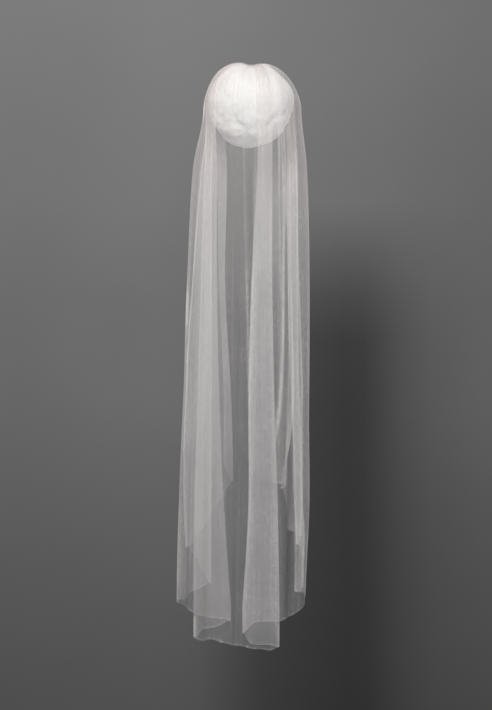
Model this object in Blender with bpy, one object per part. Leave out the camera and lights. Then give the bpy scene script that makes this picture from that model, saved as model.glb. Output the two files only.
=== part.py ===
"""A bridal veil: one length of fine tulle gathered at the crown, laid over a padded ball and falling in folds."""

import math

import bpy
import numpy as np

# Sizes in millimetres, with +X to the right, -Y to the front and Z measured down from the crown
MM = 0.001
WALL = 1.0
SEAM = 0.3
WIDEST = -94.0
CROWN_X = 5.0
RING = 0.135
CROWN_GAP = 1.74
DOME_FRONT = 98.0
DOME_BACK = 104.5
DOME_POWER = 3.15
DOME_SKEW = 0.4
DOME_ROUND = 0.75
DOME_BACK_FULLER = 0.21
DIMPLE_DEPTH = 8.0
DIMPLE_WIDTH = 17.0
VALLEY_LENGTH = 75.0
SIDE_SQUEEZE = 0.35
DOME_ROWS = 8
DROP_ROWS = 13
COLUMN_STEP = 27.0
BEND_STEPS = 4
RIPPLES = 11
RIPPLE_DEPTH = 5.0
GATHERS = 7
GATHER_DEPTH = 0.6

BALL_RADII = (97.0, 92.0, 94.0)
BALL_POWER = 2.08
BALL_CENTRE = (2.0, -1.6, -95.0)
BALL_DIMPLE = 13.8
BALL_DIP_FADE = 50.0
BALL_RINGS = 20
BALL_SIDES = 32

HEADING_RADIUS = 10.6
HEADING_TOP = 3.0
HEADING_FOOT = -10.9
HEADING_RUFFLES = 9
HEADING_SIDES = 72

# The outer ring of the drape at six heights: how far it reaches each way, the space between layers, its squareness
LEVELS = (
    ("ball", -94, 103.5, 116.6, 107, 119.5, 3.0, 2.0),
    ("under", -230, 127, 129.4, 108.5, 119.5, 4.5, 2.3),
    ("upper", -480, 139, 136, 110, 118, 6.0, 2.6),
    ("middle", -750, 145.5, 135, 112, 116, 7.0, 2.6),
    ("low", -980, 155, 135, 114, 114, 7.5, 2.6),
    ("hem", -1200, 160, 126, 116, 112, 8.0, 2.6),
)
NAME, HEIGHT, LEFT, RIGHT, NEAR, FAR, GAP, POWER = range(8)

# One row per fold or guide line, along the cloth from its free edge at the back left to that at the back right:
# name, side of the ring, layer that the cloth comes in on and goes out on, X at the six heights, depth of the hem
FOLDS = (
    ("edge_left", "F", 3, 3, -79, -75, -70, -59, -61, -63, 897),
    ("cascade_left_1", "F", 3, 2, -57, -52, -56, -42, -37, -37, 941),
    ("flap_left_1", "F", 2, 2, -68, -70, -75, -66, -59, -59, 974),
    ("flap_left_2", "F", 2, 2, -81, -95, -109, -111, -114, -114, 1057),
    ("cascade_left_2", "F", 2, 1, -93, -111, -129, -140, -145, -144, 1086),
    ("flap_left_3", "F", 1, 1, -88, -100, -114, -118, -121, -121, 1113),
    ("cascade_left_3", "F", 1, 0, -81, -87, -87, -88, -89, -89, 1178),
    ("back_left_1", "F", 0, 0, -94, -107, -123, -128, -132, -137, 1198),
    ("back_left_2", "F", 0, 0, -100, -121, -134, -139, -147, -152, 1206),
    ("side_left", "S", 0, 0, -104, -126, -139, -145, -155, -160, 1206),
    ("front_left_1", "N", 1.5, 1.5, -101, -117, -133, -137, -141, -143, 1210),
    ("front_left_2", "N", 2, 2, -92, -96, -100, -105, -107, -109, 1222),
    ("front_left_3", "N", 2, 2, -83, -82, -84, -82, -78, -71, 1226),
    ("pleat_left_1", "N", 2, 1, -76, -72, -71, -66, -56, -41, 1231),
    ("front_left_4", "N", 1, 1, -85, -85, -84, -86, -84, -75, 1243),
    ("front_left_5", "N", 1, 1, -93, -94, -99, -104, -109, -106, 1253),
    ("pleat_left_2", "N", 1, 0, -97, -99, -107, -115, -122, -123, 1269),
    ("centre_1", "N", 0, 0, -81, -82, -86, -95, -102, -104, 1275),
    ("centre_2", "N", 0, 0, -63, -64, -71, -77, -82, -84, 1268),
    ("centre_3", "N", 0, 0, -47, -47, -53, -58, -61, -62, 1277),
    ("centre_4", "N", 0, 0, -29, -29, -32, -34, -36, -36, 1281),
    ("centre_5", "N", 0, 0, -14, -13, -7, -1, -1, -5, 1285),
    ("centre_6", "N", 0, 0, 14, 16, 19, 23, 27, 27, 1290),
    ("centre_7", "N", 0, 0, 32, 34, 36, 40, 45, 45, 1294),
    ("pleat_right_1", "N", 0, 1, 49, 50, 50, 55, 62, 64, 1287),
    ("front_right_1", "N", 1, 1, 38, 36, 34, 34, 36, 29, 1282),
    ("front_right_2", "N", 1, 1, 25, 23, 16, 14, 12, 1, 1277),
    ("pleat_right_2", "N", 1, 2, 15, 17, 4, -3, -3, -16, 1257),
    ("front_right_3", "N", 2, 2, 27, 27, 23, 21, 19, 10, 1233),
    ("front_right_4", "N", 2, 2, 43, 43, 40, 40, 43, 45, 1234),
    ("front_right_5", "N", 2, 2, 60, 62, 67, 69, 71, 73, 1231),
    ("front_right_6", "N", 1.3, 1.3, 78, 85, 93, 96, 96, 96, 1223),
    ("front_right_7", "N", 0.6, 0.6, 96, 109, 118, 118, 116, 112, 1212),
    ("side_right", "S", 0, 0, 117, 129, 136, 135, 135, 126, 1195),
    ("cascade_right_1", "F", 0, 1, 87, 88, 89, 95, 103, 109, 1192),
    ("cascade_right_2", "F", 1, 2, 104, 110, 112, 115, 119, 121, 1173),
    ("cascade_right_3", "F", 2, 3, 89, 92, 95, 99, 106, 107, 1083),
    ("cascade_right_4", "F", 3, 4, 101, 108, 112, 119.5, 123, 124, 1058),
    ("flap_right_1", "F", 4, 4, 92, 97, 100, 106, 104, 102, 1055),
    ("flap_right_2", "F", 4, 4, 86, 93, 96, 98, 89, 84, 1043),
    ("cascade_right_5", "F", 4, 5, 76, 85, 88, 90, 71, 61, 957),
    ("cascade_right_6", "F", 5, 6, 84, 92, 95, 98, 80, 70, 948),
    ("flap_right_3", "F", 6, 6, 60, 61, 59, 58, 52, 51, 941),
    ("flap_right_4", "F", 6, 6, 36, 33, 31, 31, 29, 29, 933),
    ("edge_right", "F", 6, 6, 10, 10, 8, 6, 6, 6, 924),
)
FOLD, SIDE, LAYER_IN, LAYER_OUT, FIRST_X, HEM = 0, 1, 2, 3, 4, 10

# The stretches of the cloth that show, each from one row of the folds to another
STRETCHES = (
    ("cascade_back_left", "edge_left", "side_left"),
    ("folds_front_left", "side_left", "pleat_left_2"),
    ("panel_front_centre", "pleat_left_2", "pleat_right_1"),
    ("folds_front_right", "pleat_right_1", "side_right"),
    ("cascade_back_right", "side_right", "edge_right"),
)

TULLE_COLOUR = (0.86, 0.84, 0.83)
WADDING_COLOUR = (0.90, 0.89, 0.86)


def ease(share):
    share = min(max(share, 0.0), 1.0)
    return share * share * (3 - 2 * share)


def along(heights, values, z):
    """The smooth curve through a row of values given at falling heights, held level past both ends."""
    count = len(heights)
    if z >= heights[0]:
        return values[0]
    if z <= heights[-1]:
        return values[-1]
    slopes = [0.0] * count
    for i in range(1, count - 1):
        slopes[i] = (values[i + 1] - values[i - 1]) / (heights[i + 1] - heights[i - 1])
    slopes[-1] = (values[-1] - values[-2]) / (heights[-1] - heights[-2])
    for i in range(count - 1):
        if z >= heights[i + 1]:
            step = heights[i + 1] - heights[i]
            t = (z - heights[i]) / step
            start = (2 * t**3 - 3 * t**2 + 1) * values[i] + (t**3 - 2 * t**2 + t) * step * slopes[i]
            end = (3 * t**2 - 2 * t**3) * values[i + 1] + (t**3 - t**2) * step * slopes[i + 1]
            return start + end
    return values[-1]


def level(column, z):
    return along([row[HEIGHT] for row in LEVELS], [row[column] for row in LEVELS], z)


def fold_x(row, z):
    return along([each[HEIGHT] for each in LEVELS], row[FIRST_X:HEM], z)


class Ring:
    """The outer ring of the drape at one height, as distance along it, plan position and outward direction."""

    def __init__(self, z):
        power = level(POWER, z)
        turn = np.linspace(-math.pi, math.pi, 1441)
        sin, cos = np.sin(turn), np.cos(turn)
        wide = np.where(sin > 0, level(RIGHT, z), level(LEFT, z))
        deep = np.where(cos > 0, level(NEAR, z), level(FAR, z))
        self.x = wide * np.sign(sin) * np.abs(sin) ** (2 / power)
        self.y = -deep * np.sign(cos) * np.abs(cos) ** (2 / power)
        out_x = np.sign(self.x) * (np.abs(self.x) / wide) ** (power - 1) / wide
        out_y = np.sign(self.y) * (np.abs(self.y) / deep) ** (power - 1) / deep
        length = np.hypot(out_x, out_y)
        self.out_x, self.out_y = out_x / length, out_y / length
        steps = np.hypot(np.diff(self.x), np.diff(self.y))
        self.s = np.concatenate([[0], np.cumsum(steps)])
        self.turn = turn
        self.side_left = float(np.interp(-math.pi / 2, turn, self.s))
        self.side_right = float(np.interp(math.pi / 2, turn, self.s))
        self.gap = level(GAP, z)

    def squeeze(self, s):
        """Layers lie closer together where the cloth turns round the two sides."""
        turn = np.degrees(np.interp(s, self.s, self.turn))
        return 1 - SIDE_SQUEEZE * np.exp(-(((np.abs(turn) - 90) / 18) ** 2))

    def place(self, side, x, layer):
        """The distance along the ring at which a layer has this X."""
        if side == "S":
            return self.side_left if x < 0 else self.side_right
        inward = layer * self.gap * self.squeeze(self.s)
        reach = self.x - inward * self.out_x
        quarter = math.pi / 2
        if side == "N":
            used = np.abs(self.turn) <= quarter
            return float(np.interp(x, reach[used], self.s[used]))
        used = self.turn < -quarter if x < 0 else self.turn > quarter
        return float(np.interp(-x, -reach[used], self.s[used]))


def path_at(z):
    """The cloth's way round the ring at one height, as distances along the ring and layers, one pair per column."""
    ring = Ring(z)
    spots = []
    for row in FOLDS:
        middle = (row[LAYER_IN] + row[LAYER_OUT]) / 2
        spots.append(ring.place(row[SIDE], fold_x(row, z), middle))
    return ring, spots


def column_plan():
    """For each column: the two rows that it lies between, how far along, and its place in a bend or None."""
    _, spots = path_at(-980.0)
    plan = []
    for i, row in enumerate(FOLDS):
        if row[LAYER_IN] == row[LAYER_OUT]:
            plan.append((i, 0.0, None))
        else:
            for k in range(BEND_STEPS + 1):
                plan.append((i, 0.0, k / BEND_STEPS))
        if i + 1 < len(FOLDS):
            pieces = math.ceil(abs(spots[i + 1] - spots[i]) / COLUMN_STEP)
            for k in range(1, pieces):
                plan.append((i, k / pieces, None))
    return plan


def bend_radius(ring, row, s):
    return abs(row[LAYER_OUT] - row[LAYER_IN]) / 2 * ring.gap * float(ring.squeeze(s))


def column_spot(ring, spots, column):
    """Where a column lies in the section: distance along the ring and layer."""
    i, share, bend = column
    row = FOLDS[i]
    came = 1.0 if i == 0 or spots[i] >= spots[i - 1] else -1.0
    radius = bend_radius(ring, row, spots[i])
    if bend is not None:
        angle = math.pi * (bend - 0.5)
        middle = (row[LAYER_IN] + row[LAYER_OUT]) / 2
        half = (row[LAYER_OUT] - row[LAYER_IN]) / 2
        return spots[i] + came * radius * (math.cos(angle) - 1), middle + half * math.sin(angle)
    if share == 0.0:
        return spots[i], row[LAYER_IN]
    after = FOLDS[i + 1]
    goes = 1.0 if spots[i + 1] >= spots[i] else -1.0
    start = spots[i] + goes * radius
    end = spots[i + 1] - goes * bend_radius(ring, after, spots[i + 1])
    s = start + (end - start) * share
    return s, row[LAYER_OUT] + (after[LAYER_IN] - row[LAYER_OUT]) * share


def hem_depth(column):
    i, share, bend = column
    if share == 0.0:
        return FOLDS[i][HEM]
    before = FOLDS[max(i - 1, 0)][HEM]
    first, second = FOLDS[i][HEM], FOLDS[i + 1][HEM]
    beyond = FOLDS[min(i + 2, len(FOLDS) - 1)][HEM]
    rise, fall = (second - before) / 2, (beyond - first) / 2
    limit = 1.5 * abs(second - first)
    rise, fall = (max(-limit, min(limit, each)) for each in (rise, fall))
    t = share
    first_part = (2 * t**3 - 3 * t**2 + 1) * first + (t**3 - 2 * t**2 + t) * rise
    return first_part + (3 * t**2 - 2 * t**3) * second + (t**3 - t**2) * fall


def ripple(turn, z):
    """The soft waves in plan that every layer shares, deepest at the hem."""
    depth = RIPPLE_DEPTH * ease((WIDEST - z - 60) / 900)
    wave = math.sin(RIPPLES * turn + 0.8 * math.sin(2 * turn + 0.6) + 1.1)
    return depth * wave * (0.7 + 0.3 * math.sin(3 * turn + 0.4))


def gather(turn, share):
    """The small gathers that run out of the crown and die away over the ball."""
    return GATHER_DEPTH * (1 - ease((share - 0.2) / 0.6)) * math.sin(GATHERS * turn + 1.7 * math.sin(turn))


def valley(x, y):
    """The share of the crown's dip at a place: a short valley from front to back, between two shoulders."""
    return math.exp(-((x / DIMPLE_WIDTH) ** 2) - (y / VALLEY_LENGTH) ** 2)


def dome_point(ring, s, layer, share):
    """A point of the cloth on the ball: share is the size of the ring there against the widest one."""
    x, y = float(np.interp(s, ring.s, ring.x)), float(np.interp(s, ring.s, ring.y))
    out_x, out_y = float(np.interp(s, ring.s, ring.out_x)), float(np.interp(s, ring.s, ring.out_y))
    turn = float(np.interp(s, ring.s, ring.turn))
    backward = (1 - math.cos(turn)) / 2
    high = DOME_FRONT + (DOME_BACK - DOME_FRONT) * backward
    power = DOME_POWER - DOME_SKEW * math.sin(turn)
    inside = max(1 - share**power, 0.0)
    rounding = DOME_ROUND - DOME_BACK_FULLER * backward**2
    height = high * inside**rounding
    reach = math.hypot(x, y)
    lean_out = high * rounding * power * share ** (power - 1)
    lean_up = reach * inside ** (1 - rounding)
    length = math.hypot(lean_out, lean_up)
    lean_out, lean_up = lean_out / length, lean_up / length
    height -= DIMPLE_DEPTH * valley(share * x, share * y)
    spacing = CROWN_GAP + (ring.gap * float(ring.squeeze(s)) - CROWN_GAP) * ease((share - RING) / (1 - RING))
    inward = layer * spacing - gather(turn, share)
    return (
        CROWN_X * (1 - share) + share * x - inward * lean_out * out_x,
        share * y - inward * lean_out * out_y,
        WIDEST + height - inward * lean_up,
    )


def hanging_point(ring, s, layer, z):
    x, y = float(np.interp(s, ring.s, ring.x)), float(np.interp(s, ring.s, ring.y))
    out_x, out_y = float(np.interp(s, ring.s, ring.out_x)), float(np.interp(s, ring.s, ring.out_y))
    turn = float(np.interp(s, ring.s, ring.turn))
    inward = layer * ring.gap * float(ring.squeeze(s)) - ripple(turn, z)
    return x - inward * out_x, y - inward * out_y, z


def sheet_grid(plan):
    """The middle surface of the whole cloth, as rows from the crown to the hem of one point per column."""
    grid = np.zeros((DOME_ROWS + DROP_ROWS + 1, len(plan), 3))
    ring, spots = path_at(WIDEST)
    places = [column_spot(ring, spots, column) for column in plan]
    for j in range(DOME_ROWS + 1):
        angle = math.asin(RING) + (math.pi / 2 - math.asin(RING)) * j / DOME_ROWS
        for k, (s, layer) in enumerate(places):
            grid[j, k] = dome_point(ring, s, layer, math.sin(angle))
    for k, column in enumerate(plan):
        depth = hem_depth(column)
        for j in range(1, DROP_ROWS + 1):
            z = WIDEST - (depth + WIDEST) * (j / DROP_ROWS) ** 1.08
            ring, spots = path_at(z)
            s, layer = column_spot(ring, spots, column)
            grid[DOME_ROWS + j, k] = hanging_point(ring, s, layer, z)
    grid[:, :, 0] -= CROWN_X
    return grid


def outward(grid):
    """Unit directions at right angles to the grid, facing away from the ball on the outermost layer."""
    down, across = np.gradient(grid, axis=0), np.gradient(grid, axis=1)
    facing = np.cross(down, across)
    return facing / np.linalg.norm(facing, axis=2, keepdims=True)


def mesh_object(name, points, faces, colour, roughness):
    mesh = bpy.data.meshes.new(name)
    mesh.from_pydata([tuple(float(c) * MM for c in point) for point in points], [], faces)
    mesh.update()
    obj = bpy.data.objects.new(name, mesh)
    bpy.context.scene.collection.objects.link(obj)
    material = bpy.data.materials.new(name)
    material.use_nodes = True
    shader = material.node_tree.nodes["Principled BSDF"]
    shader.inputs["Base Color"].default_value = (*colour, 1.0)
    shader.inputs["Roughness"].default_value = roughness
    mesh.materials.append(material)
    mesh.polygons.foreach_set("use_smooth", [True] * len(mesh.polygons))
    return obj


def signed_volume(points, faces):
    total = 0.0
    for face in faces:
        first = points[face[0]]
        for k in range(1, len(face) - 1):
            total += float(np.dot(first, np.cross(points[face[k]], points[face[k + 1]])))
    return total / 6


def wall(name, grid, facing):
    """A closed wall of cloth on both sides of a part of the grid, with its four rims."""
    rows, columns = grid.shape[:2]
    outer = grid + facing * WALL / 2
    inner = grid - facing * WALL / 2
    points = np.concatenate([outer.reshape(-1, 3), inner.reshape(-1, 3)])
    under = rows * columns

    def at(j, k):
        return j * columns + k

    faces = []
    for j in range(rows - 1):
        for k in range(columns - 1):
            quad = (at(j, k), at(j + 1, k), at(j + 1, k + 1), at(j, k + 1))
            faces.append(quad)
            faces.append(tuple(under + corner for corner in reversed(quad)))
    rim = [at(0, k) for k in range(columns)]
    rim += [at(j, columns - 1) for j in range(1, rows)]
    rim += [at(rows - 1, k) for k in range(columns - 2, -1, -1)]
    rim += [at(j, 0) for j in range(rows - 2, 0, -1)]
    for first, second in zip(rim, rim[1:] + rim[:1]):
        faces.append((first, second, under + second, under + first))
    if signed_volume(points, faces) < 0:
        faces = [tuple(reversed(face)) for face in faces]
    return mesh_object(name, points, faces, TULLE_COLOUR, 0.55)


def build_cloth():
    plan = column_plan()
    grid = sheet_grid(plan)
    facing = outward(grid)
    names = [row[FOLD] for row in FOLDS]
    for name, first, last in STRETCHES:
        ends = []
        for end in (first, last):
            spots = [k for k, column in enumerate(plan) if column[0] == names.index(end) and column[1] == 0.0]
            ends.append(spots[len(spots) // 2])
        part = grid[:, ends[0] : ends[1] + 1].copy()
        for edge, inside in ((0, 1), (-1, -2)):
            if (edge == 0 and ends[0] == 0) or (edge == -1 and ends[1] == len(plan) - 1):
                continue
            way = part[:, inside] - part[:, edge]
            part[:, edge] += way / np.linalg.norm(way, axis=1, keepdims=True) * SEAM * 0.65
        wall(name, part, facing[:, ends[0] : ends[1] + 1])


def no_dip(x, y, height):
    return 0.0


def turned(name, profile, sides, ruffle, colour, roughness, centre=(0.0, 0.0), dip=no_dip):
    """A closed round body from a profile of radius and height, with the radius waved by a function of the angle."""
    points, faces = [], []
    for radius, height in profile[1:-1]:
        for k in range(sides):
            angle = 2 * math.pi * k / sides
            reach = radius * ruffle(angle, height)
            x, y = reach * math.cos(angle), reach * math.sin(angle)
            points.append((centre[0] + x, centre[1] + y, height - dip(x, y, height)))
    rings = len(profile) - 2
    points.append((*centre, profile[0][1] - dip(0.0, 0.0, profile[0][1])))
    points.append((*centre, profile[-1][1]))
    top, bottom = rings * sides, rings * sides + 1
    for k in range(sides):
        after = (k + 1) % sides
        faces.append((top, k, after))
        faces.append((bottom, (rings - 1) * sides + after, (rings - 1) * sides + k))
        for j in range(rings - 1):
            a, b = j * sides + k, j * sides + after
            faces.append((a, a + sides, b + sides, b))
    points = np.array(points)
    if signed_volume(points, faces) < 0:
        faces = [tuple(reversed(face)) for face in faces]
    return mesh_object(name, points, faces, colour, roughness)


def build_ball():
    wide, deep, high = BALL_RADII
    profile = []
    for j in range(BALL_RINGS + 1):
        angle = math.pi * (j / BALL_RINGS) ** 1.5
        power = BALL_POWER if angle < math.pi / 2 else 2.0
        reach = wide * max(math.sin(angle), 0.0) ** (2 / power)
        rise = high * math.copysign(abs(math.cos(angle)) ** (2 / power), math.cos(angle))
        profile.append((reach, BALL_CENTRE[2] + rise))

    def narrower_in_depth(angle, _):
        return 1 / math.hypot(math.cos(angle), math.sin(angle) * wide / deep)

    def sunk(x, y, height):
        return BALL_DIMPLE * valley(x, y) * ease((height - BALL_CENTRE[2]) / BALL_DIP_FADE)

    centre = (BALL_CENTRE[0] - CROWN_X, BALL_CENTRE[1])
    turned("padded_ball", profile, BALL_SIDES, narrower_in_depth, WADDING_COLOUR, 0.9, centre, sunk)


def build_heading():
    """The small ruffled knot of stitched gathers at the crown, closed over at the top."""
    middle = (HEADING_TOP + HEADING_FOOT) / 2
    profile = [
        (0.0, HEADING_TOP - 2.5),
        (HEADING_RADIUS * 0.35, HEADING_TOP - 1.5),
        (HEADING_RADIUS * 0.72, HEADING_TOP),
        (HEADING_RADIUS, HEADING_TOP - 1.2),
        (HEADING_RADIUS * 0.93, middle + 2.0),
        (HEADING_RADIUS * 0.86, HEADING_FOOT + 1.5),
        (HEADING_RADIUS * 0.55, HEADING_FOOT),
        (0.0, HEADING_FOOT + 0.4),
    ]

    def ruffled(angle, height):
        depth = 0.13 * ease((height - HEADING_FOOT) / (HEADING_TOP - HEADING_FOOT))
        return 1 + depth * (math.sin(HEADING_RUFFLES * angle + math.sin(2 * angle)) - 0.4)

    turned("gathered_heading", profile, HEADING_SIDES, ruffled, TULLE_COLOUR, 0.55)


def build():
    for obj in list(bpy.data.objects):
        bpy.data.objects.remove(obj, do_unlink=True)
    build_cloth()
    build_ball()
    build_heading()


build()
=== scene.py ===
"""The looks of the bridal veil: one continuous net of tulle over its padded ball, with its light and camera."""

import math

import bmesh
import bpy
import numpy as np
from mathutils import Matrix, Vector, noise
from mathutils.bvhtree import BVHTree


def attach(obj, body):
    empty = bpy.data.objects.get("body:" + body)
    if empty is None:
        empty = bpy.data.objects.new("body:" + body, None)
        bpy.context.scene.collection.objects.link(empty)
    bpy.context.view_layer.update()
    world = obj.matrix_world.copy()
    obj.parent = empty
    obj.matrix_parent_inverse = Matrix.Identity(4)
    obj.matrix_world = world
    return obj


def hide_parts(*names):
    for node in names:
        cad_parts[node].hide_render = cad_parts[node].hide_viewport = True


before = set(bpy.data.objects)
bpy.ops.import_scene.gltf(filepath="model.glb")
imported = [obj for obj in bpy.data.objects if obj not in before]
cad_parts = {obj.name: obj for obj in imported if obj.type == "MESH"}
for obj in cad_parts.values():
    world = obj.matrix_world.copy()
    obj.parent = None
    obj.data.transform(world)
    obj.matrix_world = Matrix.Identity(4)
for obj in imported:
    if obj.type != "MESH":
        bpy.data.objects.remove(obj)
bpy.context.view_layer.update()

# Sizes in millimetres, the same as the solids'
MM = 0.001
WIDEST = -94.0
CROWN_X = 5.0
RING = 0.135
CROWN_GAP = 1.74
DOME_FRONT = 98.0
DOME_BACK = 104.5
DOME_POWER = 3.15
DOME_SKEW = 0.4
DOME_ROUND = 0.75
DOME_BACK_FULLER = 0.21
DIMPLE_DEPTH = 8.0
DIMPLE_WIDTH = 17.0
VALLEY_LENGTH = 75.0
SIDE_SQUEEZE = 0.35
RIPPLES = 11
RIPPLE_DEPTH = 5.0
BALL_RADII = (97.0, 92.0, 94.0)
BALL_POWER = 2.08
BALL_CENTRE = (2.0 - CROWN_X, -1.6, -95.0)
BALL_DIMPLE = 13.8
BALL_DIP_FADE = 50.0

# The wadding's tufts, how near it may come to the cloth, and how far it swells beside the crown and elsewhere
PUFFS = 34
PUFF_SEED = 5
PUFF_SIZES = (0.38, 0.54)
PUFF_HEIGHTS = (9.0, 15.0)
WADDING_CLEAR = 1.1
SWELL_BY_CROWN = 12.0
SWELL_BELOW = 4.0

# How finely the cloth is made
DOME_ROWS = 30
DROP_ROWS = 170
TABLE_STEP = 14.0
COLUMN_STEP = 5.0
BEND_STEPS = 10
FRILL_RINGS = 26
FRILL_SIDES = 220

# What one layer of net hides of what is behind it, by height, and how much more at the sides, down the outline,
# at the folds and along the raw hem
COVER = ((-94, 0.168), (-230, 0.15), (-480, 0.138), (-750, 0.125), (-980, 0.117), (-1300, 0.113))
SIDE_COVER = 1.1
EDGE_COVER = 2.4
EDGE_WIDTH = 5.0
FOLD_COVER = 0.095
HEM_COVER = 0.22
HEM_WIDTH = 2.0
MOST_COVER = 0.95
FRILL_COVER = (0.45, 0.70)

# Painted shade in the net's colour: how much darker it is made where it lies on itself over the ball, and at the
# frill
PAINTED_SHADE_OVER_BALL = 0.8
FRILL_PAINTED_SHADE = 0.8

# The threads' and the grain's scale on the flat cloth, and the uneven streaks: their stretch and how strong they are
THREAD_SCALE = 190.0
GRAIN_SCALE = 75.0
STREAKS = (((150.0, 2.2, 1.0), 0.9), ((170.0, 60.0, 1.0), 0.7), ((420.0, 300.0, 1.0), 0.7))

# Where the net is bunched closer or opened: the fold it starts from, the fold it ends at, top, foot, and how much
# more it hides
BUNCHES = (
    ("front_left_2", "centre_2", -60, -330, 0.12),
    ("flap_left_2", "flap_left_3", -60, -900, 0.5),
    ("front_left_1", "front_left_2", -60, -860, 0.5),
    ("front_left_1", "front_left_5", -700, -1180, -0.1),
    ("side_left", "front_left_1", -960, -1230, 0.4),
    ("centre_2", "front_right_5", -320, -1330, 0.08),
    ("centre_2", "front_right_5", -380, -1330, 0.08),
    ("centre_2", "front_right_5", -440, -1330, 0.08),
    ("pleat_right_1", "front_right_5", -930, -1330, 0.05),
    ("cascade_right_1", "cascade_right_6", -240, -1080, -0.38),
    ("edge_left", "flap_left_1", -700, -1010, -0.25),
    ("back_left_2", "side_left", -960, -1230, 0.3),
    ("cascade_right_1", "cascade_right_2", -1000, -1230, -0.3),
    ("cascade_right_5", "cascade_right_6", -120, -860, -0.55),
    ("flap_right_3", "edge_right", -430, -1000, -0.7),
    ("edge_left", "flap_left_2", -860, -1120, -0.2),
)

# The outline's levels: height, reach to the left, right, front and back, distance between layers, and how square
LEVELS = (
    ("ball", -94, 103.5, 116.6, 107, 119.5, 3.0, 2.0),
    ("under", -230, 127, 129.4, 108.5, 119.5, 4.5, 2.3),
    ("upper", -480, 139, 136, 110, 118, 6.0, 2.6),
    ("middle", -750, 145.5, 135, 112, 116, 7.0, 2.6),
    ("low", -980, 155, 135, 114, 114, 7.5, 2.6),
    ("hem", -1200, 160, 126, 116, 112, 8.0, 2.6),
)
NAME, HEIGHT, LEFT, RIGHT, NEAR, FAR, GAP, POWER = range(8)

# The folds from free edge to free edge: the side that they lie on (front N, side S, back F), the layer the cloth
# comes in on and goes on in, their place at the six levels, and the hem's depth below the crown
FOLDS = (
    ("edge_left", "F", 3, 3, -79, -75, -70, -59, -61, -63, 897),
    ("cascade_left_1", "F", 3, 2, -57, -52, -56, -42, -37, -37, 941),
    ("flap_left_1", "F", 2, 2, -68, -70, -75, -66, -59, -59, 974),
    ("flap_left_2", "F", 2, 2, -81, -95, -109, -111, -114, -114, 1057),
    ("cascade_left_2", "F", 2, 1, -93, -111, -129, -140, -145, -144, 1086),
    ("flap_left_3", "F", 1, 1, -88, -100, -114, -118, -121, -121, 1113),
    ("cascade_left_3", "F", 1, 0, -81, -87, -87, -88, -89, -89, 1178),
    ("back_left_1", "F", 0, 0, -94, -107, -123, -128, -132, -137, 1198),
    ("back_left_2", "F", 0, 0, -100, -121, -134, -139, -147, -152, 1206),
    ("side_left", "S", 0, 0, -104, -126, -139, -145, -155, -160, 1206),
    ("front_left_1", "N", 1.5, 1.5, -101, -117, -133, -137, -141, -143, 1210),
    ("front_left_2", "N", 2, 2, -92, -96, -100, -105, -107, -109, 1222),
    ("front_left_3", "N", 2, 2, -83, -82, -84, -82, -78, -71, 1226),
    ("pleat_left_1", "N", 2, 1, -76, -72, -71, -66, -56, -41, 1231),
    ("front_left_4", "N", 1, 1, -85, -85, -84, -86, -84, -75, 1243),
    ("front_left_5", "N", 1, 1, -93, -94, -99, -104, -109, -106, 1253),
    ("pleat_left_2", "N", 1, 0, -97, -99, -107, -115, -122, -123, 1269),
    ("centre_1", "N", 0, 0, -81, -82, -86, -95, -102, -104, 1275),
    ("centre_2", "N", 0, 0, -63, -64, -71, -77, -82, -84, 1268),
    ("centre_3", "N", 0, 0, -47, -47, -53, -58, -61, -62, 1277),
    ("centre_4", "N", 0, 0, -29, -29, -32, -34, -36, -36, 1281),
    ("centre_5", "N", 0, 0, -14, -13, -7, -1, -1, -5, 1285),
    ("centre_6", "N", 0, 0, 14, 16, 19, 23, 27, 27, 1290),
    ("centre_7", "N", 0, 0, 32, 34, 36, 40, 45, 45, 1294),
    ("pleat_right_1", "N", 0, 1, 49, 50, 50, 55, 62, 64, 1287),
    ("front_right_1", "N", 1, 1, 38, 36, 34, 34, 36, 29, 1282),
    ("front_right_2", "N", 1, 1, 25, 23, 16, 14, 12, 1, 1277),
    ("pleat_right_2", "N", 1, 2, 15, 17, 4, -3, -3, -16, 1257),
    ("front_right_3", "N", 2, 2, 27, 27, 23, 21, 19, 10, 1233),
    ("front_right_4", "N", 2, 2, 43, 43, 40, 40, 43, 45, 1234),
    ("front_right_5", "N", 2, 2, 60, 62, 67, 69, 71, 73, 1231),
    ("front_right_6", "N", 1.3, 1.3, 78, 85, 93, 96, 96, 96, 1223),
    ("front_right_7", "N", 0.6, 0.6, 96, 109, 118, 118, 116, 112, 1212),
    ("side_right", "S", 0, 0, 117, 129, 136, 135, 135, 126, 1195),
    ("cascade_right_1", "F", 0, 1, 87, 88, 89, 95, 103, 109, 1192),
    ("cascade_right_2", "F", 1, 2, 104, 110, 112, 115, 119, 121, 1173),
    ("cascade_right_3", "F", 2, 3, 89, 92, 95, 99, 106, 107, 1083),
    ("cascade_right_4", "F", 3, 4, 101, 108, 112, 119.5, 123, 124, 1058),
    ("flap_right_1", "F", 4, 4, 92, 97, 100, 106, 104, 102, 1055),
    ("flap_right_2", "F", 4, 4, 86, 93, 96, 98, 89, 84, 1043),
    ("cascade_right_5", "F", 4, 5, 76, 85, 88, 90, 71, 61, 957),
    ("cascade_right_6", "F", 5, 6, 84, 92, 95, 98, 80, 70, 948),
    ("flap_right_3", "F", 6, 6, 60, 61, 59, 58, 52, 51, 941),
    ("flap_right_4", "F", 6, 6, 36, 33, 31, 31, 29, 29, 933),
    ("edge_right", "F", 6, 6, 10, 10, 8, 6, 6, 6, 924),
)
FOLD, SIDE, LAYER_IN, LAYER_OUT, FIRST_X, HEM = 0, 1, 2, 3, 4, 10
FOLD_NAMES = [row[FOLD] for row in FOLDS]

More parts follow.
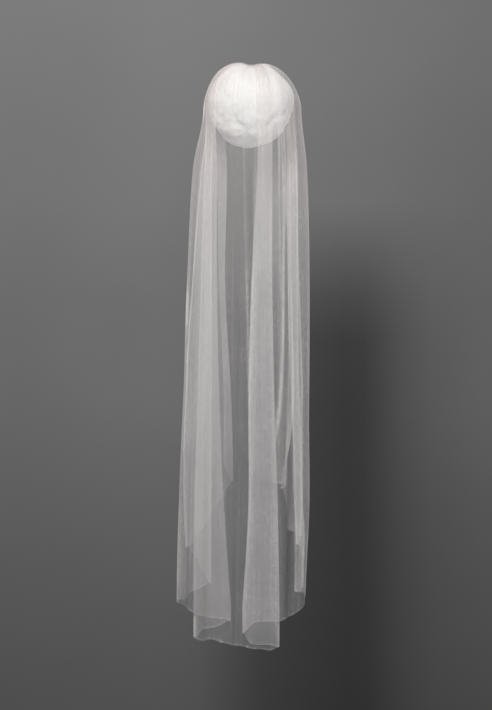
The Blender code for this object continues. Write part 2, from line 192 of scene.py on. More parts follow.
# Pressed creases and soft ridges that show as bright lines: the fold they run beside, the share of the way on to
# the next fold at their top and at their foot, top, foot, how much more they hide, and half their width
CREASES = (
    ("back_left_1", 0.0, 0.0, -380, -1195, 0.15, 3.0),
    ("centre_5", 0.0, 0.0, -100, -470, 0.09, 4.4),
    ("centre_5", 0.0, 0.0, -430, -800, 0.20, 3.4),
    ("centre_6", 0.55, 0.55, -10, -130, 0.12, 3.0),
    ("centre_7", 0.15, 0.15, -5, -160, 0.14, 3.0),
    ("centre_7", 0.7, 0.7, -10, -210, 0.16, 3.0),
    ("centre_2", 0.35, 0.35, -10, -150, 0.06, 3.0),
    ("pleat_right_2", 0.0, 0.0, -430, -1305, 0.06, 10.0),
    ("pleat_right_2", 0.0, 0.0, -460, -1305, 0.16, 3.0),
    ("pleat_right_1", 0.0, 0.0, -300, -1305, 0.09, 6.0),
    ("front_right_5", 0.20, 0.02, -60, -320, 0.30, 3.4),
    ("front_right_5", 0.02, 0.0, -260, -560, 0.14, 3.4),
    ("front_right_5", 0.64, 0.60, -20, -400, 0.24, 3.6),
    ("front_right_6", 0.35, 0.35, -60, -420, 0.08, 3.4),
    ("cascade_right_6", 0.44, 0.89, -180, -880, 0.32, 4.0),
    ("cascade_right_6", 0.0, 0.0, -740, -960, 0.10, 3.4),
    ("flap_left_2", 0.3, 0.3, -700, -1000, 0.06, 3.0),
)


def ease(share):
    share = np.clip(share, 0.0, 1.0)
    return share * share * (3 - 2 * share)


def blend_rise(t, first, last, rise, fall):
    """A smooth way from one value to the next, with the slope at both ends given over the whole step."""
    start = (2 * t**3 - 3 * t**2 + 1) * first + (t**3 - 2 * t**2 + t) * rise
    return start + (3 * t**2 - 2 * t**3) * last + (t**3 - t**2) * fall


def along(heights, values, z):
    """A smooth curve through values at falling heights."""
    count = len(heights)
    if z >= heights[0]:
        return values[0]
    if z <= heights[-1]:
        return values[-1]
    slopes = [0.0] * count
    for i in range(1, count - 1):
        slopes[i] = (values[i + 1] - values[i - 1]) / (heights[i + 1] - heights[i - 1])
    slopes[-1] = (values[-1] - values[-2]) / (heights[-1] - heights[-2])
    for i in range(count - 1):
        if z >= heights[i + 1]:
            step = heights[i + 1] - heights[i]
            t = (z - heights[i]) / step
            return blend_rise(t, values[i], values[i + 1], step * slopes[i], step * slopes[i + 1])
    return values[-1]


def level(column, z):
    return along([row[HEIGHT] for row in LEVELS], [row[column] for row in LEVELS], z)


def fold_x(row, z):
    return along([each[HEIGHT] for each in LEVELS], row[FIRST_X:HEM], z)


class Ring:
    """The drape's outer ring at one height: distance along it, place in plan and outward direction."""

    def __init__(self, z):
        power = level(POWER, z)
        turn = np.linspace(-math.pi, math.pi, 1441)
        sin, cos = np.sin(turn), np.cos(turn)
        wide = np.where(sin > 0, level(RIGHT, z), level(LEFT, z))
        deep = np.where(cos > 0, level(NEAR, z), level(FAR, z))
        self.x = wide * np.sign(sin) * np.abs(sin) ** (2 / power)
        self.y = -deep * np.sign(cos) * np.abs(cos) ** (2 / power)
        out_x = np.sign(self.x) * (np.abs(self.x) / wide) ** (power - 1) / wide
        out_y = np.sign(self.y) * (np.abs(self.y) / deep) ** (power - 1) / deep
        length = np.hypot(out_x, out_y)
        self.out_x, self.out_y = out_x / length, out_y / length
        steps = np.hypot(np.diff(self.x), np.diff(self.y))
        self.s = np.concatenate([[0], np.cumsum(steps)])
        self.turn = turn
        self.side_left = float(np.interp(-math.pi / 2, turn, self.s))
        self.side_right = float(np.interp(math.pi / 2, turn, self.s))
        self.gap = level(GAP, z)

    def at(self, s):
        return [np.interp(s, self.s, each) for each in (self.x, self.y, self.out_x, self.out_y, self.turn)]

    def squeeze(self, s):
        turn = np.degrees(np.interp(s, self.s, self.turn))
        return 1 - SIDE_SQUEEZE * np.exp(-(((np.abs(turn) - 90) / 18) ** 2))

    def place(self, side, x, layer):
        if side == "S":
            return self.side_left if x < 0 else self.side_right
        inward = layer * self.gap * self.squeeze(self.s)
        reach = self.x - inward * self.out_x
        quarter = math.pi / 2
        if side == "N":
            used = np.abs(self.turn) <= quarter
            return float(np.interp(x, reach[used], self.s[used]))
        used = self.turn < -quarter if x < 0 else self.turn > quarter
        return float(np.interp(-x, -reach[used], self.s[used]))


def spots_at(ring, z):
    return [ring.place(row[SIDE], fold_x(row, z), (row[LAYER_IN] + row[LAYER_OUT]) / 2) for row in FOLDS]


def column_plan():
    """For each column: the row that it follows, how far on to the next, and its place in a bend or -1."""
    ring = Ring(-980.0)
    spots = spots_at(ring, -980.0)
    plan = []
    for i, row in enumerate(FOLDS):
        if row[LAYER_IN] == row[LAYER_OUT]:
            plan.append((i, 0.0, -1.0))
        else:
            plan += [(i, 0.0, k / BEND_STEPS) for k in range(BEND_STEPS + 1)]
        if i + 1 < len(FOLDS):
            pieces = max(2, math.ceil(abs(spots[i + 1] - spots[i]) / COLUMN_STEP))
            plan += [(i, k / pieces, -1.0) for k in range(1, pieces)]
    return plan


def bend_radius(ring, row, s):
    return abs(row[LAYER_OUT] - row[LAYER_IN]) / 2 * ring.gap * float(ring.squeeze(s))


def section(ring, spots, plan):
    """Distance along the ring and layer of every column."""
    radii = [bend_radius(ring, row, spot) for row, spot in zip(FOLDS, spots)]
    found = np.zeros((len(plan), 2))
    for k, (i, share, bend) in enumerate(plan):
        row = FOLDS[i]
        if bend >= 0:
            came = 1.0 if i == 0 or spots[i] >= spots[i - 1] else -1.0
            angle = math.pi * (bend - 0.5)
            middle = (row[LAYER_IN] + row[LAYER_OUT]) / 2
            half = (row[LAYER_OUT] - row[LAYER_IN]) / 2
            found[k] = spots[i] + came * radii[i] * (math.cos(angle) - 1), middle + half * math.sin(angle)
        elif share == 0.0:
            found[k] = spots[i], row[LAYER_IN]
        else:
            goes = 1.0 if spots[i + 1] >= spots[i] else -1.0
            start, end = spots[i] + goes * radii[i], spots[i + 1] - goes * radii[i + 1]
            first, last = row[LAYER_OUT], FOLDS[i + 1][LAYER_IN]
            found[k] = start + (end - start) * share, first + (last - first) * share
    return found


def hem_depth(column):
    """How far below the crown the hem lies at a column, without overshooting between two folds."""
    i, share, _ = column
    if share == 0.0:
        return FOLDS[i][HEM]
    before, first = FOLDS[max(i - 1, 0)][HEM], FOLDS[i][HEM]
    second, beyond = FOLDS[i + 1][HEM], FOLDS[min(i + 2, len(FOLDS) - 1)][HEM]
    limit = 1.5 * abs(second - first)
    rise = max(-limit, min(limit, (second - before) / 2))
    fall = max(-limit, min(limit, (beyond - first) / 2))
    return blend_rise(share, first, second, rise, fall)


def shared_relief(turn, z):
    """The waves, small pleats and slack that all layers share, as they hang one behind another."""
    low = ease((WIDEST - z - 60) / 900)
    wave = np.sin(RIPPLES * turn + 0.8 * np.sin(2 * turn + 0.6) + 1.1) * (0.7 + 0.3 * np.sin(3 * turn + 0.4))
    drift = 0.5 * np.sin(z / 210.0) + 0.3 * np.sin(z / 83.0 + 2 * turn)
    small = np.sin(29 * turn + 2.2 * np.sin(3 * turn) + drift) + 0.6 * np.sin(47 * turn + 1.3 * drift + 0.5)
    slack = np.sin(z / 130.0 + 5 * turn + 0.7) * np.sin(z / 71.0 + 1.9 * turn)
    return RIPPLE_DEPTH * low * wave + 0.55 * (0.5 + 0.5 * low) * small + 0.9 * low * slack


def crown_relief(turn, share):
    """The small gathers that run out of the crown and die away over the ball."""
    fade = 1 - ease((share - 0.25) / 0.7)
    return fade * (0.32 * np.sin(31 * turn + 2 * np.sin(2 * turn)) + 0.22 * np.sin(53 * turn + 1.0))


def valley(x, y):
    """The share of the crown's dip at a place: a short valley from front to back, between two shoulders."""
    return np.exp(-((x / DIMPLE_WIDTH) ** 2) - (y / VALLEY_LENGTH) ** 2)


def dome_points(ring, places, share):
    s, layer = places[:, 0], places[:, 1]
    x, y, out_x, out_y, turn = ring.at(s)
    backward = (1 - np.cos(turn)) / 2
    high = DOME_FRONT + (DOME_BACK - DOME_FRONT) * backward
    rounding = DOME_ROUND - DOME_BACK_FULLER * backward**2
    power = DOME_POWER - DOME_SKEW * np.sin(turn)
    inside = np.maximum(1 - share**power, 0.0)
    reach = np.hypot(x, y)
    lean_out = high * rounding * power * share ** (power - 1)
    lean_up = reach * inside ** (1 - rounding)
    length = np.hypot(lean_out, lean_up)
    lean_out, lean_up = lean_out / length, lean_up / length
    height = high * inside**rounding - DIMPLE_DEPTH * valley(share * x, share * y)
    spacing = CROWN_GAP + (ring.gap * ring.squeeze(s) - CROWN_GAP) * ease((share - RING) / (1 - RING))
    outward = crown_relief(turn, share) + shared_relief(turn, WIDEST) * ease((share - 0.3) / 0.7)
    inward = layer * spacing - outward
    return np.stack(
        [
            CROWN_X * (1 - share) + share * x - inward * lean_out * out_x,
            share * y - inward * lean_out * out_y,
            WIDEST + height - inward * lean_up,
        ],
        axis=1,
    )


def hanging_points(z, plan):
    ring = Ring(z)
    places = section(ring, spots_at(ring, z), plan)
    s, layer = places[:, 0], places[:, 1]
    x, y, out_x, out_y, turn = ring.at(s)
    inward = layer * ring.gap * ring.squeeze(s) - shared_relief(turn, z)
    return np.stack([x - inward * out_x, y - inward * out_y, np.full(len(plan), z)], axis=1)


def sheet_grid(plan):
    """Rows of points from crown to hem, one point per column, in millimetres."""
    columns = len(plan)
    grid = np.zeros((DOME_ROWS + DROP_ROWS + 1, columns, 3))
    ring = Ring(WIDEST)
    places = section(ring, spots_at(ring, WIDEST), plan)
    for j in range(DOME_ROWS + 1):
        angle = math.asin(RING) + (math.pi / 2 - math.asin(RING)) * j / DOME_ROWS
        grid[j] = dome_points(ring, places, math.sin(angle))
    depths = np.array([hem_depth(column) for column in plan])
    heights = np.arange(WIDEST, -1310.0, -TABLE_STEP)
    table = np.stack([hanging_points(z, plan) for z in heights])
    for k in range(columns):
        sway = 0.8 * math.sin(k * 0.61) + 0.5 * math.sin(k * 0.23 + 1.0)
        foot = -(depths[k] + sway)
        z = WIDEST + (foot - WIDEST) * (np.arange(1, DROP_ROWS + 1) / DROP_ROWS)
        for axis in (0, 1):
            grid[DOME_ROWS + 1 :, k, axis] = np.interp(-z, -heights, table[:, k, axis])
        grid[DOME_ROWS + 1 :, k, 2] = z
    grid[:, :, 0] -= CROWN_X
    return grid


def width_along(plan):
    """The distance across the cloth to each column, well above the hem, in millimetres."""
    level_row = hanging_points(-850.0, plan)
    return np.concatenate([[0], np.cumsum(np.linalg.norm(np.diff(level_row, axis=0), axis=1))])


def fold_order(plan):
    """Each column's place in the list of folds, as a row and the share of the way on to the next."""
    return np.array([i + share for i, share, _ in plan])


def between(order, start, end):
    """1 from one named fold to another and 0 elsewhere, with a fade one row wide at both."""
    first, last = FOLD_NAMES.index(start), FOLD_NAMES.index(end)
    return (ease(order - first + 0.5) * ease(last - order + 0.5))[None, :]


def painted_shade_grid(grid, plan):
    """Painted shade: how much darker the net's colour is made where it lies on itself over the ball, for the shade
    its layers cast on one another.
    """
    within = between(fold_order(plan), "centre_4", "front_right_5")
    z = grid[:, :, 2]
    return 1 - (1 - PAINTED_SHADE_OVER_BALL) * within * ease((z + 190) / 60) * ease((5 - z) / 30)


def outline_distance(x, z):
    """How far each point lies inside the side outline at its height, in millimetres."""
    band = np.clip(np.round(-z / 10), 0, 139).astype(int)
    inside = np.zeros(x.shape)
    for side in (-1, 1):
        reach = np.zeros(140)
        np.maximum.at(reach, band, side * x)
        inside = np.where(side * x > 0, reach[band] - side * x, inside)
    return inside


def cover_grid(grid, plan):
    """How much each point of the net hides of what is behind it: more at folds, gathers and the raw edge."""
    z = grid[:, :, 2]
    cover = np.interp(-z, [-each[0] for each in COVER], [each[1] for each in COVER])
    near_crown = ease((z + 95) / 95)
    cover *= 1 + 1.2 * near_crown**2 + 1.6 * ease((z + 34) / 36)
    turn = np.degrees(np.arctan2(grid[:, :, 0] + CROWN_X, -grid[:, :, 1]))
    side = SIDE_COVER * np.exp(-(((np.abs(turn) - 90) / 30) ** 2))
    higher = np.where(turn < 0, 0.5 + 0.9 * ease((z + 520) / 260), 1.1)
    inside = outline_distance(grid[:, :, 0], z)
    weaker = np.where(turn > 0, 1 - 0.7 * ease((-620 - z) / 200), 1)
    rim = EDGE_COVER * np.exp(-((inside / EDGE_WIDTH) ** 2)) * weaker
    cover *= 1 + (side * higher + rim) * (1 - near_crown)
    order = fold_order(plan)
    for start, end, top, foot, more in BUNCHES:
        cover *= 1 + more * between(order, start, end) * ease((top - z) / 60) * ease((z - foot) / 90)
    for k, (i, share, bend) in enumerate(plan):
        if bend >= 0:
            edge_on = math.cos(math.pi * (bend - 0.5))
            cover[:, k] += FOLD_COVER * edge_on**2 * (1 - 0.55 * near_crown[:, k])
    drop = np.linalg.norm(np.diff(grid, axis=0), axis=2)
    left = np.concatenate([np.cumsum(drop[::-1], axis=0)[::-1], np.zeros((1, len(plan)))])
    fainter = 1 - 0.75 * ease(order - FOLD_NAMES.index("flap_right_3") + 0.5)
    cover = np.maximum(cover, HEM_COVER * fainter[None, :] * np.clip(1.5 - left / HEM_WIDTH, 0, 1))
    for edge in (0, -1):
        cover[:, edge] = np.maximum(cover[:, edge], HEM_COVER * 0.8)
    return np.clip(cover, 0, MOST_COVER)


def crease_grids(grid, plan):
    """For two sets of creases: how far, in half widths, each point lies from the nearest, and what that hides."""
    z = grid[:, :, 2]
    order = fold_order(plan)
    across = width_along(plan)
    sets = []
    for first in (0, 1):
        away = np.full(z.shape, 9.0)
        more = np.zeros(z.shape)
        nearest = np.full(z.shape, 1e9)
        for name, high, low, top, foot, strength, width in CREASES[first::2]:
            down = np.clip((top - z) / (top - foot), 0, 1)
            here = np.interp(FOLD_NAMES.index(name) + high + (low - high) * down**2, order, across)
            far = across[None, :] - here
            used = (np.abs(far) < nearest) & (z < top) & (z > foot)
            nearest = np.where(used, np.abs(far), nearest)
            away = np.where(used, far / width, away)
            hides = strength * ease((top - z) / 40) * ease((z - foot) / 90)
            more = np.where(used, hides * (np.abs(far) < max(11.0, 2.2 * width)), more)
        sets.append((away, more))
    return sets


def grid_mesh(name, grid):
    rows, columns = grid.shape[:2]
    index = np.arange(rows * columns).reshape(rows, columns)
    quads = np.stack([index[:-1, :-1], index[1:, :-1], index[1:, 1:], index[:-1, 1:]], axis=-1).reshape(-1, 4)
    mesh = bpy.data.meshes.new(name)
    mesh.from_pydata((grid.reshape(-1, 3) * MM).tolist(), [], quads.tolist())
    mesh.update()
    mesh.polygons.foreach_set("use_smooth", [True] * len(mesh.polygons))
    return mesh


def add_object(name, mesh, material):
    obj = bpy.data.objects.new(name, mesh)
    bpy.context.scene.collection.objects.link(obj)
    mesh.materials.clear()
    mesh.materials.append(material)
    return obj


def store(mesh, name, values):
    layer = mesh.attributes.new(name, "FLOAT", "POINT")
    layer.data.foreach_set("value", np.asarray(values, dtype=np.float32).ravel())


class Nodes:
    """Short hand for a node tree."""

    def __init__(self, tree):
        self.tree = tree

    def add(self, kind, **settings):
        node = self.tree.nodes.new(kind)
        for key, value in settings.items():
            setattr(node, key, value)
        return node

    def put(self, node, values):
        for key, value in values.items():
            if isinstance(value, bpy.types.NodeSocket):
                self.tree.links.new(value, node.inputs[key])
            else:
                node.inputs[key].default_value = value
        return node

    def maths(self, operation, first, second=0.0, third=0.0):
        node = self.add("ShaderNodeMath", operation=operation)
        return self.put(node, {0: first, 1: second, 2: third}).outputs[0]


def new_material(name):
    material = bpy.data.materials.new(name)
    material.use_nodes = True
    return material, Nodes(material.node_tree), material.node_tree.nodes["Principled BSDF"]


def tulle_material():
    material, nodes, shader = new_material("tulle_net")
    cover = nodes.add("ShaderNodeAttribute", attribute_name="cover").outputs["Fac"]
    for name in "ab":
        away = nodes.add("ShaderNodeAttribute", attribute_name="crease_away_" + name).outputs["Fac"]
        more = nodes.add("ShaderNodeAttribute", attribute_name="crease_cover_" + name).outputs["Fac"]
        line = nodes.maths("EXPONENT", nodes.maths("MULTIPLY", nodes.maths("MULTIPLY", away, away), -1.0))
        cover = nodes.maths("ADD", cover, nodes.maths("MULTIPLY", more, line))
    place = nodes.add("ShaderNodeUVMap", uv_map="cut").outputs["UV"]
    bands = []
    for turn in (0.0, math.radians(60), math.radians(120)):
        mapping = nodes.put(nodes.add("ShaderNodeMapping"), {"Vector": place, "Rotation": (0, 0, turn)})
        wave = nodes.add("ShaderNodeTexWave", wave_type="BANDS", bands_direction="X")
        nodes.put(wave, {"Vector": mapping.outputs[0], "Scale": THREAD_SCALE, "Distortion": 0.0})
        bands.append(nodes.maths("POWER", wave.outputs["Fac"], 3.0))
    net = nodes.maths("ADD", nodes.maths("ADD", bands[0], bands[1]), bands[2])
    cloud = nodes.put(nodes.add("ShaderNodeTexNoise"), {"Vector": place, "Scale": 9.0, "Detail": 3.0})
    uneven = nodes.maths("MULTIPLY_ADD", cloud.outputs["Fac"], 0.5, 0.75)
    for stretch, contrast in STREAKS:
        mapping = nodes.put(nodes.add("ShaderNodeMapping"), {"Vector": place, "Scale": stretch})
        streak = nodes.add("ShaderNodeTexNoise")
        nodes.put(streak, {"Vector": mapping.outputs[0], "Scale": 1.0, "Detail": 2.0})
        varied = nodes.maths("MULTIPLY_ADD", streak.outputs["Fac"], contrast, 1 - contrast / 2)
        uneven = nodes.maths("MULTIPLY", uneven, varied)
    grain = nodes.add("ShaderNodeTexWave", wave_type="BANDS", bands_direction="Y")
    nodes.put(grain, {"Vector": place, "Scale": GRAIN_SCALE, "Distortion": 14.0, "Detail": 1.0, "Detail Scale": 0.6})
    uneven = nodes.maths("MULTIPLY", uneven, nodes.maths("MULTIPLY_ADD", grain.outputs["Fac"], 0.2, 0.9))
    thread = nodes.maths("MULTIPLY_ADD", net, 0.8, 0.25)
    alpha = nodes.maths("MULTIPLY", nodes.maths("MULTIPLY", cover, thread), uneven)
    clipped = nodes.maths("MINIMUM", alpha, 0.96)
    tint = nodes.put(nodes.add("ShaderNodeTexNoise"), {"Vector": place, "Scale": 3.0, "Detail": 2.0})
    colour = nodes.add("ShaderNodeMix", data_type="RGBA")
    colour.inputs[6].default_value = (0.80, 0.786, 0.784, 1)
    colour.inputs[7].default_value = (0.84, 0.768, 0.752, 1)
    along_cut = nodes.add("ShaderNodeSeparateXYZ")
    nodes.tree.links.new(place, along_cut.inputs[0])
    warm = nodes.add("ShaderNodeMapRange")
    nodes.put(warm, {0: along_cut.outputs[1], 1: 0.08, 2: 0.5, 3: 1.5, 4: 0.3})
    nodes.tree.links.new(nodes.maths("MULTIPLY", tint.outputs["Fac"], warm.outputs[0]), colour.inputs[0])
    # Painted shade: the colour is scaled by the shade attribute, darker where the net lies on itself over the ball
    # and at the frill
    shade = nodes.add("ShaderNodeAttribute", attribute_name="shade").outputs["Fac"]
    painted_shade_colour = nodes.add("ShaderNodeVectorMath", operation="SCALE")
    nodes.put(painted_shade_colour, {0: colour.outputs[2], "Scale": shade})
    bump = nodes.put(nodes.add("ShaderNodeBump"), {"Strength": 0.15, "Distance": 0.0004, "Height": net})
    shader.inputs["Roughness"].default_value = 0.75
    shader.inputs["Sheen Weight"].default_value = 0.2
    shader.inputs["Sheen Roughness"].default_value = 0.4
    nodes.put(shader, {"Base Color": painted_shade_colour.outputs[0], "Alpha": clipped, "Normal": bump.outputs[0]})
    return material


def wadding_material():
    material, nodes, shader = new_material("wadding")
    place = nodes.add("ShaderNodeTexCoord").outputs["Object"]
    fibre = nodes.add("ShaderNodeTexNoise")
    nodes.put(fibre, {"Vector": place, "Scale": 180.0, "Detail": 6.0, "Distortion": 1.6})
    tuft = nodes.put(nodes.add("ShaderNodeTexNoise"), {"Vector": place, "Scale": 26.0, "Detail": 3.0})
    height = nodes.maths("ADD", nodes.maths("MULTIPLY", fibre.outputs["Fac"], 0.3), tuft.outputs["Fac"])
    bump = nodes.put(nodes.add("ShaderNodeBump"), {"Strength": 0.4, "Distance": 0.003, "Height": height})
    colour = nodes.add("ShaderNodeMix", data_type="RGBA")
    colour.inputs[6].default_value = (0.84, 0.835, 0.815, 1)
    colour.inputs[7].default_value = (0.92, 0.915, 0.90, 1)
    nodes.tree.links.new(fibre.outputs["Fac"], colour.inputs[0])
    shader.inputs["Roughness"].default_value = 0.95
    shader.inputs["Sheen Weight"].default_value = 0.5
    shader.inputs["Subsurface Weight"].default_value = 0.5
    shader.inputs["Subsurface Radius"].default_value = (0.022, 0.021, 0.019)
    shader.inputs["Subsurface Scale"].default_value = 1.0
    nodes.put(shader, {"Base Color": colour.outputs[2], "Normal": bump.outputs[0]})
    return material


def set_cut(mesh, uv):
    """Gives every corner its place on the flat cloth, in metres."""
    layer = mesh.uv_layers.new(name="cut")
    corners = np.zeros(len(mesh.loops), dtype=np.int32)
    mesh.loops.foreach_get("vertex_index", corners)
    layer.data.foreach_set("uv", uv.reshape(-1, 2)[corners].astype(np.float32).ravel())


def make_cloth(material):
    plan = column_plan()
    grid = sheet_grid(plan)
    mesh = grid_mesh("tulle_veil", grid)
    store(mesh, "cover", cover_grid(grid, plan))
    # Painted shade over the ball, stored for the material
    store(mesh, "shade", painted_shade_grid(grid, plan))
    for name, (away, more) in zip("ab", crease_grids(grid, plan)):
        store(mesh, "crease_away_" + name, away)
        store(mesh, "crease_cover_" + name, more)
    across = width_along(plan) * MM
    rows, columns = grid.shape[:2]
    uv = np.zeros((rows, columns, 2))
    uv[:, :, 0] = across[None, :]
    drop = np.linalg.norm(np.diff(grid, axis=0), axis=2) * MM
    uv[1:, :, 1] = np.cumsum(drop, axis=0)
    set_cut(mesh, uv)
    obj = add_object("tulle_veil", mesh, material)
    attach(obj, "root")
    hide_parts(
        "panel_front_centre",
        "folds_front_left",
        "folds_front_right",
        "cascade_back_left",
        "cascade_back_right",
    )
    obj.visible_shadow = False
    return obj


def make_ball(material, cloth):
    """The lump of wadding: its tufts are loose below, and above they press out against the innermost cloth."""
    corners = [vert.co for vert in cloth.data.vertices]
    cloth_tree = BVHTree.FromPolygons(corners, [face.vertices for face in cloth.data.polygons])
    mesh = bpy.data.meshes.new("wadding_ball")
    sphere = bmesh.new()
    bmesh.ops.create_icosphere(sphere, subdivisions=7, radius=1.0)
    chance = np.random.default_rng(PUFF_SEED)
    up = 1 - 2 * (np.arange(PUFFS) + 0.5) / PUFFS
    round_it = np.arange(PUFFS) * math.radians(137.5)
    flat = np.sqrt(1 - up**2)
    puff_ways = np.stack([flat * np.cos(round_it), flat * np.sin(round_it), up], axis=1)
    puff_ways += chance.normal(0, 0.12, puff_ways.shape)
    puff_ways /= np.linalg.norm(puff_ways, axis=1, keepdims=True)
    puff_sizes = chance.uniform(*PUFF_SIZES, PUFFS)
    puff_heights = chance.uniform(*PUFF_HEIGHTS, PUFFS)
    for vert in sphere.verts:
        way = vert.co.normalized()
        bent = way + 0.09 * noise.noise_vector(way * 2.6) + 0.03 * noise.noise_vector(way * 7.0)
        near = np.arccos(np.clip(puff_ways @ np.array(bent.normalized()), -1, 1)) / puff_sizes
        heights = puff_heights * np.sqrt(np.clip(1 - near**2, 0, 1))
        puff = float(np.log(np.exp(0.9 * heights).sum()) / 0.9)
        lump = noise.noise(way * 2.0 + Vector((3.1, 0.4, 7.7)))
        tuft = noise.noise(way * 6.0) + 0.4 * noise.noise(way * 11.0)
        fine = noise.noise(way * 19.0) + 0.5 * noise.noise(way * 41.0)
        low = float(ease((0.45 - way.z) / 0.8))
        depth = -1.4 + 1.0 * lump + 0.3 * fine + (0.4 + 0.8 * low) * tuft
        depth += (0.25 + 0.55 * low) * (puff - 10.0) + low * 3.0 * lump - 5.0 * low**2
        power = BALL_POWER if way.z > 0 else 2.0
        fuller = (math.hypot(way.x, way.y) ** power + abs(way.z) ** power) ** (-1 / power)
        x, y, z = (part * fuller * (radius + depth) for part, radius in zip(way, BALL_RADII))
        if way.z > 0:
            z -= BALL_DIMPLE * float(valley(x, y)) * float(ease(z / BALL_DIP_FADE))
        centre, spot = Vector(BALL_CENTRE), Vector((x, y, z))
        inner = cloth_tree.ray_cast(centre * MM, spot.normalized())[3]
        if inner:
            room = inner / MM - WADDING_CLEAR - spot.length
            off_crown = math.hypot(x, y)
            less = (SWELL_BY_CROWN - SWELL_BELOW) * float(ease((off_crown - 25) / 35))
            swell = min(room, SWELL_BY_CROWN - less)
            swell *= float(ease((way.z + 0.5) / 0.9)) * float(ease((off_crown - 6) / 10))
            spot *= 1 + min(max(swell, 0.0), room) / spot.length
        vert.co = (centre + spot) * MM
    sphere.to_mesh(mesh)
    sphere.free()
    mesh.polygons.foreach_set("use_smooth", [True] * len(mesh.polygons))
    obj = add_object("wadding_ball", mesh, material)
    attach(obj, "root")
    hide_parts("padded_ball")
    return obj


def make_heading(material):
    """The tulle drawn together at the crown: its pleats run in, dip and stand up as a tiny frill."""
    rings, sides = FRILL_RINGS, FRILL_SIDES
    grid = np.zeros((rings, sides + 1, 3))
    for j in range(rings):
        share = j / (rings - 1)
        for k in range(sides + 1):
            turn = 2 * math.pi * k / sides
            pleat = math.sin(17 * turn + 1.3 * math.sin(2 * turn)) + 0.5 * math.sin(29 * turn + 0.7)
            frill = math.sin(5 * turn + 0.6) * 0.9 + math.sin(9 * turn)
            if share < 0.6:
                inner = share / 0.6
                radius = 14.2 - 9.6 * inner
                height = -0.6 - 2.6 * ease(inner) + 0.5 * pleat * (1 - 0.4 * inner)
                radius += 0.3 * pleat * inner
            else:
                rise = (share - 0.6) / 0.4
                radius = 4.6 + (3.4 + 1.3 * frill) * rise + 0.3 * pleat
                height = -3.2 + (6.0 + 0.9 * frill) * ease(rise) + 0.3 * pleat * (1 - rise)
            x, y = radius * math.cos(turn), radius * math.sin(turn) * 0.95
            lower = DIMPLE_DEPTH * (float(valley(x, y)) - math.exp(-((math.hypot(x, y) / DIMPLE_WIDTH) ** 2)))
            grid[j, k] = (x, y, height - lower)
    mesh = grid_mesh("crown_frill", grid)
    share = np.linspace(0, 1, rings)[:, None] * np.ones((1, sides + 1))
    store(mesh, "cover", FRILL_COVER[0] + (FRILL_COVER[1] - FRILL_COVER[0]) * share)
    # Painted shade at the frill, the same amount as over the ball
    store(mesh, "shade", np.full(share.shape, FRILL_PAINTED_SHADE))
    set_cut(mesh, grid[:, :, :2] * MM)
    obj = add_object("crown_frill", mesh, material)
    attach(obj, "root")
    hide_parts("gathered_heading")
    return obj


# The camera stands level with the middle of the veil, with a long lens, as the photograph's did. One pixel of the
# 492 by 710 frame shows this many millimetres, and the tables' origin lies at this pixel
PIXEL = 2.25
ORIGIN_PIXEL = (249.5, 66)
CAMERA_DISTANCE = 3.4
SENSOR = 24.0
FRAME_HEIGHT = 710 * PIXEL * MM
CAMERA_X = (492 / 2 - ORIGIN_PIXEL[0]) * PIXEL * MM - CROWN_X * MM
CAMERA_Z = -(710 / 2 - ORIGIN_PIXEL[1]) * PIXEL * MM
FLOOR_Z = -1.60


def make_camera():
    camera = bpy.data.cameras.new("camera")
    camera.sensor_fit = "VERTICAL"
    camera.sensor_height = SENSOR
    camera.lens = SENSOR * CAMERA_DISTANCE / FRAME_HEIGHT
    obj = bpy.data.objects.new("camera", camera)
    bpy.context.scene.collection.objects.link(obj)
    obj.location = (CAMERA_X, -CAMERA_DISTANCE, CAMERA_Z)
    obj.rotation_euler = (math.pi / 2, 0, 0)
    bpy.context.scene.camera = obj


def make_light(name, place, target, size, power, colour):
    light = bpy.data.lights.new(name, "AREA")
    light.size = size
    light.energy = power
    light.color = colour
    obj = bpy.data.objects.new(name, light)
    bpy.context.scene.collection.objects.link(obj)
    obj.location = place
    obj.rotation_euler = (Vector(target) - Vector(place)).to_track_quat("-Z", "Y").to_euler()


# The studio wall by direction: its brightness by height and how it falls off to the right, a painted light falloff
# which also lights the scene, and the painted soft shadow that the veil casts on the wall to its right
WALL_UP = (
    (-1.0, 0.42), (-0.5, 0.34), (-0.3, 0.1), (-0.24, 0.078), (-0.16, 0.098),
    (-0.096, 0.119), (-0.03, 0.147), (0.036, 0.158), (0.103, 0.184), (0.22, 0.213),
)
WALL_ACROSS = ((-0.15, 0.93), (-0.06, 1.0), (0.0, 0.95), (0.065, 0.86), (0.12, 0.79), (0.17, 0.73))
PAINTED_SHADOW_ACROSS = (
    (-0.04, 0.0), (-0.03, 0.04), (-0.0106, 0.4), (0.0093, 0.76), (0.0291, 0.87), (0.0437, 0.93),
    (0.0655, 1.0), (0.078, 0.95), (0.0887, 0.78), (0.102, 0.52), (0.122, 0.24), (0.155, 0.0),
)
PAINTED_SHADOW_UP = (
    (-0.45, 0.0), (-0.24, 0.58), (-0.16, 0.6), (-0.03, 0.68), (0.01, 0.66),
    (0.036, 0.52), (0.06, 0.33), (0.078, 0.18), (0.1, 0.0),
)


def curve_of(nodes, value, points):
    """A number that follows a table of points, by a colour ramp."""
    low, high = points[0][0], points[-1][0]
    share = nodes.put(nodes.add("ShaderNodeMapRange"), {0: value, 1: low, 2: high, 3: 0.0, 4: 1.0}).outputs[0]
    ramp = nodes.add("ShaderNodeValToRGB")
    nodes.tree.links.new(share, ramp.inputs[0])
    for k, (place, height) in enumerate(points):
        position = (place - low) / (high - low)
        if k == 0:
            stop = ramp.color_ramp.elements[0]
        elif k == len(points) - 1:
            stop = ramp.color_ramp.elements[-1]
        else:
            stop = ramp.color_ramp.elements.new(position)
        stop.position = position
        stop.color = (height, height, height, 1)
    return ramp.outputs[0]


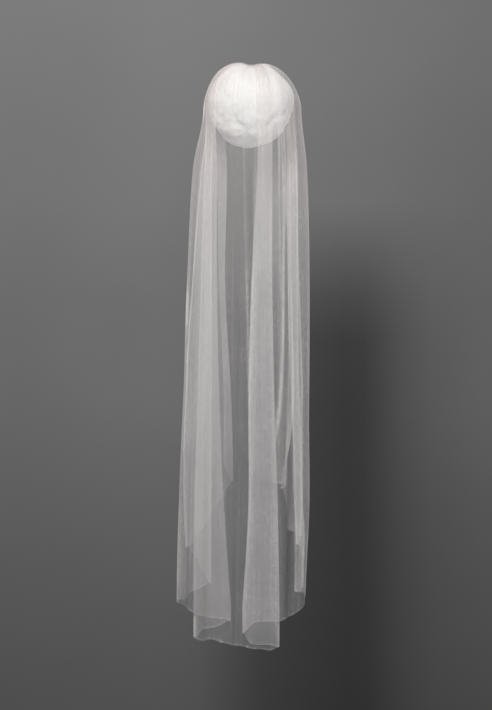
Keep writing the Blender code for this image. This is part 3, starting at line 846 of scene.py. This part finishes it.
def make_world():
    """A grey studio wall with painted light falloff, lighter above and to the left, and a painted shadow of the veil,
    given by direction so that it shows behind any view.
    """
    world = bpy.data.worlds.new("studio")
    bpy.context.scene.world = world
    world.use_nodes = True
    nodes = Nodes(world.node_tree)
    way = nodes.add("ShaderNodeSeparateXYZ")
    nodes.tree.links.new(nodes.add("ShaderNodeTexCoord").outputs["Generated"], way.inputs[0])
    across, deep, up = way.outputs[0], way.outputs[1], way.outputs[2]
    wall = nodes.maths("MULTIPLY", curve_of(nodes, up, WALL_UP), curve_of(nodes, across, WALL_ACROSS))
    # Painted shadow: the veil's soft shadow on the wall, taken out of the wall's light only in the directions behind
    # the veil
    painted_shadow = nodes.maths("MULTIPLY", curve_of(nodes, up, PAINTED_SHADOW_UP), curve_of(nodes, across, PAINTED_SHADOW_ACROSS))
    painted_shadow = nodes.maths("MULTIPLY", painted_shadow, nodes.maths("GREATER_THAN", deep, 0.0))
    light = nodes.maths("MULTIPLY", wall, nodes.maths("SUBTRACT", 1.0, painted_shadow))
    grain = nodes.put(nodes.add("ShaderNodeTexNoise"), {"Scale": 14.0, "Detail": 3.0})
    light = nodes.maths("MULTIPLY", light, nodes.maths("MULTIPLY_ADD", grain.outputs["Fac"], 0.12, 0.94))
    background = world.node_tree.nodes["Background"]
    nodes.put(background, {"Color": (1.0, 1.0, 0.995, 1.0), "Strength": light})


def make_floor():
    mesh = bpy.data.meshes.new("floor")
    disc = bmesh.new()
    bmesh.ops.create_circle(disc, cap_ends=True, segments=96, radius=0.58)
    disc.to_mesh(mesh)
    disc.free()
    material, nodes, shader = new_material("floor")
    cloud = nodes.put(nodes.add("ShaderNodeTexNoise"), {"Scale": 5.0})
    colour = nodes.add("ShaderNodeMix", data_type="RGBA")
    colour.inputs[6].default_value = (0.60, 0.60, 0.60, 1)
    colour.inputs[7].default_value = (0.66, 0.66, 0.65, 1)
    nodes.tree.links.new(cloud.outputs["Fac"], colour.inputs[0])
    nodes.put(shader, {"Base Color": colour.outputs[2], "Roughness": 0.8})
    obj = add_object("floor", mesh, material)
    obj.location = (0, 0, FLOOR_Z)


def main():
    tulle = tulle_material()
    cloth = make_cloth(tulle)
    make_ball(wadding_material(), cloth)
    make_heading(tulle)
    make_camera()
    make_world()
    make_floor()
    make_light("key", (-0.8, -2.4, 1.2), (0, 0, -0.35), 1.4, 52.0, (1.0, 0.985, 0.972))
    make_light("fill", (1.2, -2.4, -0.3), (0, 0, -0.5), 1.8, 29.0, (0.97, 0.98, 1.0))
    make_light("back", (0.8, 2.4, 0.8), (0, 0, -0.4), 1.8, 24.0, (0.99, 0.99, 1.0))
    scene = bpy.context.scene
    scene.view_settings.view_transform = "Standard"
    scene.cycles.transparent_max_bounces = 64


main()
